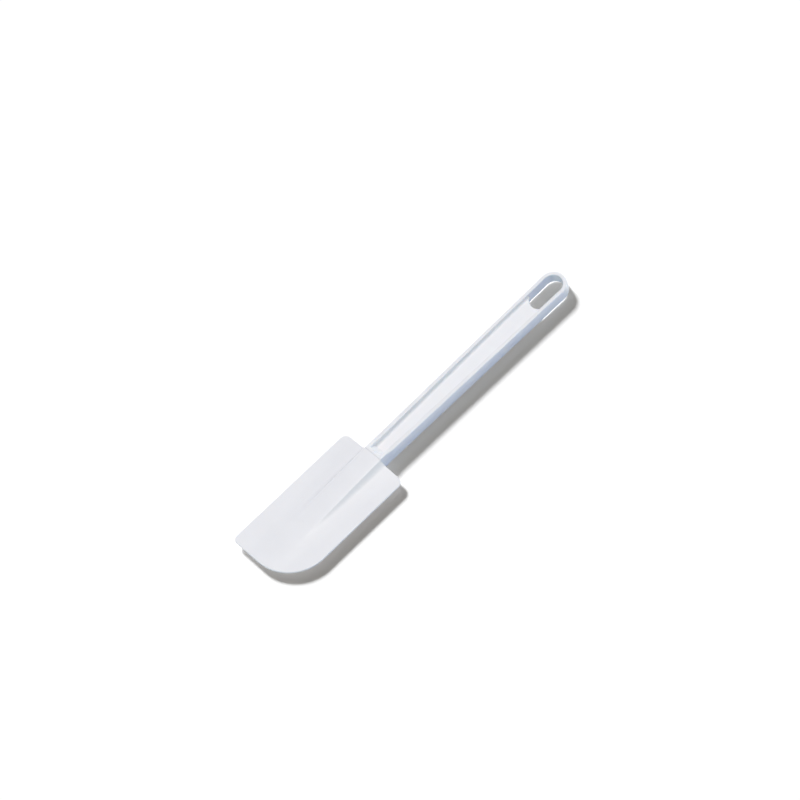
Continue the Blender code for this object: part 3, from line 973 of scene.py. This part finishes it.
def handle_plastic():
    """Satin white plastic: faint flow bands round the gate, a knit line where the two rails' melts met at
    the loop's end, the mould's grain, hairlines, rubbed outer corners, painted shade in inner ones, and the
    rails' tops greyed a little, partly by the hand and partly as painted shade."""
    material, tree, shader, place = new_material("handle_plastic", **{
        "IOR": 1.49,
        "Subsurface Weight": 0.5,
        "Subsurface Radius": (1.0, 0.9, 0.8),
        "Subsurface Scale": 0.0015,
    })
    grain = place_group(tree, GRAIN, Vector=place, Scale=1100.0, Depth=0.000008)
    marks = place_group(tree, HANDLING, Vector=place, Scale=50.0, Turn=0.35)
    corners = place_group(tree, CORNERS, Vector=place, Scale=450.0, Sharpness=900.0)
    specks = place_group(tree, SPECKS, Vector=place, Scale=160.0, Size=0.04, Share=0.05)

    axes = add_node(tree, "ShaderNodeSeparateXYZ", {"Vector": place})
    x, y, z = [result(axes, axis) for axis in "XYZ"]
    from_middle = calculate(tree, "ABSOLUTE", calculate(tree, "SUBTRACT", z, MID_PLANE))
    normal = result(add_node(tree, "ShaderNodeNewGeometry"), "Normal")
    upward = result(add_node(tree, "ShaderNodeSeparateXYZ", {"Vector": normal}), "Z")
    # Painted shade and hand grey on the rails' tops, in patches, set in by height, upward facing and distance
    # behind the collar
    grey_and_shade = ramp(tree, noise(tree, place, GREY_AND_SHADE_SCALE), *GREY_AND_SHADE_PATCHES)
    for share in (
        ramp(tree, from_middle, *GREY_AND_SHADE_HEIGHTS),
        ramp(tree, calculate(tree, "ABSOLUTE", upward), *GREY_AND_SHADE_FACING),
        ramp(tree, x, *COLLAR_GREYING),
    ):
        grey_and_shade = calculate(tree, "MULTIPLY", grey_and_shade, share)

    from_gate = calculate(tree, "ABSOLUTE", calculate(tree, "SUBTRACT", x, GATE_PLACE))
    bent = add_up(tree, from_gate, [(noise(tree, place, BAND_WANDER_SCALE), BAND_WANDER)])
    waves = calculate(tree, "SINE", calculate(tree, "MULTIPLY", bent, BAND_CLOSENESS))
    bands = calculate(tree, "MULTIPLY_ADD", waves, 0.5, 0.5)
    bands = calculate(tree, "MULTIPLY", bands, ramp(tree, from_gate, *BAND_FADE))

    wander = calculate(tree, "SUBTRACT", noise(tree, place, KNIT_WANDER_SCALE), 0.5)
    from_knit = calculate(tree, "ABSOLUTE", add_up(tree, y, [(wander, KNIT_WANDER)]))
    knit = ramp(tree, from_knit, 0.0, KNIT_HALF_WIDTH, 1.0, 0.0)
    knit = calculate(tree, "MULTIPLY", knit, ramp(tree, x, *KNIT_REACH))

    colour = lay_over(tree, PLASTIC_WHITE, [
        (bands, 0.18, PLASTIC_FLOW_AND_SHADE),
        # Painted shade in the inner corners
        (corners["Inner"], 0.35, PLASTIC_FLOW_AND_SHADE),
        # Painted shade and hand grey on the rails' tops
        (grey_and_shade, 1.0, PLASTIC_GREY_AND_SHADE),
        (corners["Outer"], 0.3, PLASTIC_RUBBED),
        (knit, 0.4, PLASTIC_FLOW_AND_SHADE),
        (specks["Specks"], 0.45, PLASTIC_SPECK),
    ])
    rough = add_up(tree, PLASTIC_ROUGHNESS, [
        (grain["Shade"], 0.10),
        (marks["Rubbed"], 0.06),
        (marks["Hairlines"], 0.12),
        (corners["Outer"], -0.05),
    ])
    height = add_up(tree, grain["Height"], [(marks["Hairlines"], -0.000008), (knit, -0.00001)])
    feed_shader(tree, shader, colour, rough, height)
    return material


surface_curvature(handle.data)
handle.data.materials.append(handle_plastic())


# The spatula lies on a plain white table top, far wider than the picture. Its paint has no pattern, only a
# faint unevenness in its gloss, and from below it is not there, so that the underside can be looked at.

TABLE_HALF_SIDE = 4.0
TABLE_WHITE = (0.9, 0.9, 0.9, 1)
TABLE_PATCH_SCALE = 40.0
TABLE_PATCHES = (0.2, 0.8)
TABLE_ROUGHNESS = (0.85, 0.95)


def table_paint():
    """Matt white paint that is see-through from below."""
    material, tree, shader, place = new_material("table_paint", **{"Base Color": TABLE_WHITE, "IOR": 1.4})
    uneven = noise(tree, place, TABLE_PATCH_SCALE, detail=3.0)
    tree.links.new(ramp(tree, uneven, *TABLE_PATCHES, *TABLE_ROUGHNESS), shader.inputs["Roughness"])
    below = result(add_node(tree, "ShaderNodeNewGeometry"), "Backfacing")
    clear = add_node(tree, "ShaderNodeBsdfTransparent")
    paint = add_node(tree, "ShaderNodeMixShader", {0: below, 1: result(shader), 2: result(clear)})
    tree.links.new(result(paint), tree.nodes["Material Output"].inputs["Surface"])
    return material


table_mesh = bpy.data.meshes.new("table_top")
table_corners = np.array([[-1, -1, 0], [1, -1, 0], [1, 1, 0], [-1, 1, 0]]) * TABLE_HALF_SIDE
table_mesh.from_pydata(table_corners.tolist(), [], [(0, 1, 2, 3)])
table = bpy.data.objects.new("table_top", table_mesh)
table_mesh.materials.append(table_paint())
bpy.context.scene.collection.objects.link(table)


# Plain soft studio light. A wide sun from behind lights only the table and throws the spatula's shadow on
# it, with a warm fill that has no shadow. The spatula has wide lamps of its own: a warm one overhead, cooler
# ones all round, and a blue one for the light that the bright table throws back up.

# Towards the lamp: azimuth from +X and elevation, in degrees, then its width and its red, green and blue
# strengths
SUN = (77.5, 41.3, 13.0, (4.15, 4.18, 4.25))
TABLE_FILL = (90.0, 90.0, 0.5, (0.53, 0.47, 0.31))
SPATULA_LAMPS = {
    "overhead": (90.0, 85.0, 30.0, (2.07, 1.86, 1.75)),
    "right": (0.0, 25.0, 40.0, (0.80, 0.94, 0.94)),
    "left": (180.0, 25.0, 40.0, (0.20, 0.38, 0.42)),
    "front": (-90.0, 25.0, 40.0, (0.37, 0.46, 0.50)),
    "back": (90.0, 25.0, 40.0, (0.36, 0.37, 0.43)),
    "from_table": (-90.0, -50.0, 50.0, (0.08, 0.15, 0.40)),
}
AMBIENT = (0.095, 0.105, 0.14, 1)


def direction(azimuth, elevation):
    """The unit vector with this azimuth, from +X towards +Y, and this elevation, both in degrees."""
    along, up = math.radians(azimuth), math.radians(elevation)
    return Vector((math.cos(up) * math.cos(along), math.cos(up) * math.sin(along), math.sin(up)))


def add_lamp(name, azimuth, elevation, width, light, lit):
    """A wide lamp far away, whose light is kept to the objects in this list."""
    data = bpy.data.lights.new(name, "SUN")
    data.angle = math.radians(width)
    data.energy = max(light)
    data.color = [part / max(light) for part in light]
    lamp = bpy.data.objects.new(name, data)
    lamp.rotation_euler = direction(azimuth, elevation).to_track_quat("Z", "Y").to_euler()
    bpy.context.scene.collection.objects.link(lamp)
    lamp.light_linking.receiver_collection = group_objects("lit_by_" + name, lit)
    return lamp


def group_objects(name, objects):
    """A collection of these objects, outside the scene, for light linking."""
    collection = bpy.data.collections.new(name)
    for piece in objects:
        collection.objects.link(piece)
    return collection


add_lamp("table_sun", *SUN, [table])
add_lamp("table_fill", *TABLE_FILL, [table]).data.use_shadow = False
for name, values in SPATULA_LAMPS.items():
    lamp = add_lamp(name, *values, [blade, handle])
    lamp.light_linking.blocker_collection = group_objects("shading_" + name, [blade, handle])

# Faint bluish light comes from all round. Only the camera sees the backdrop, which is white
world = bpy.data.worlds.new("studio")
world.use_nodes = True
tree = world.node_tree
ambient = tree.nodes["Background"]
ambient.inputs["Color"].default_value = AMBIENT
backdrop = add_node(tree, "ShaderNodeBackground", {"Color": (1, 1, 1, 1), "Strength": 1.0})
seen = result(add_node(tree, "ShaderNodeLightPath"), "Is Camera Ray")
sky = add_node(tree, "ShaderNodeMixShader", {0: seen, 1: result(ambient), 2: result(backdrop)})
tree.links.new(result(sky), tree.nodes["World Output"].inputs["Surface"])
bpy.context.scene.world = world
bpy.context.scene.view_settings.view_transform = "Standard"


# The camera looks down on the spatula from its front left, with a long lens, and is rolled until the
# spatula lies from the lower left of the picture to its upper right.

PICTURE_WIDTH = 800
PIXELS_PER_METRE = 1764.8
ORIGIN_PIXEL = (416.04, 424.60)
AZIMUTH = -111.63
ELEVATION = 57.13
ROLL = math.radians(43.524)
CAMERA_DISTANCE = 3.0
SENSOR_WIDTH = 36.0

towards = direction(AZIMUTH, ELEVATION)
along_handle = (Vector((1, 0, 0)) - towards.x * towards).normalized()
across_handle = towards.cross(along_handle)
right = math.cos(ROLL) * along_handle - math.sin(ROLL) * across_handle
up = math.sin(ROLL) * along_handle + math.cos(ROLL) * across_handle
aside = (PICTURE_WIDTH / 2 - ORIGIN_PIXEL[0]) / PIXELS_PER_METRE
above = (ORIGIN_PIXEL[1] - PICTURE_WIDTH / 2) / PIXELS_PER_METRE

camera_data = bpy.data.cameras.new("camera")
camera_data.sensor_width = SENSOR_WIDTH
camera_data.lens = SENSOR_WIDTH * CAMERA_DISTANCE * PIXELS_PER_METRE / PICTURE_WIDTH
camera_data.clip_end = 100.0
camera = bpy.data.objects.new("camera", camera_data)
camera_place = CAMERA_DISTANCE * towards + aside * right + above * up
camera_turn = Matrix((right, up, towards)).transposed().to_4x4()
camera.matrix_world = Matrix.Translation(camera_place) @ camera_turn
bpy.context.scene.collection.objects.link(camera)
bpy.context.scene.camera = camera
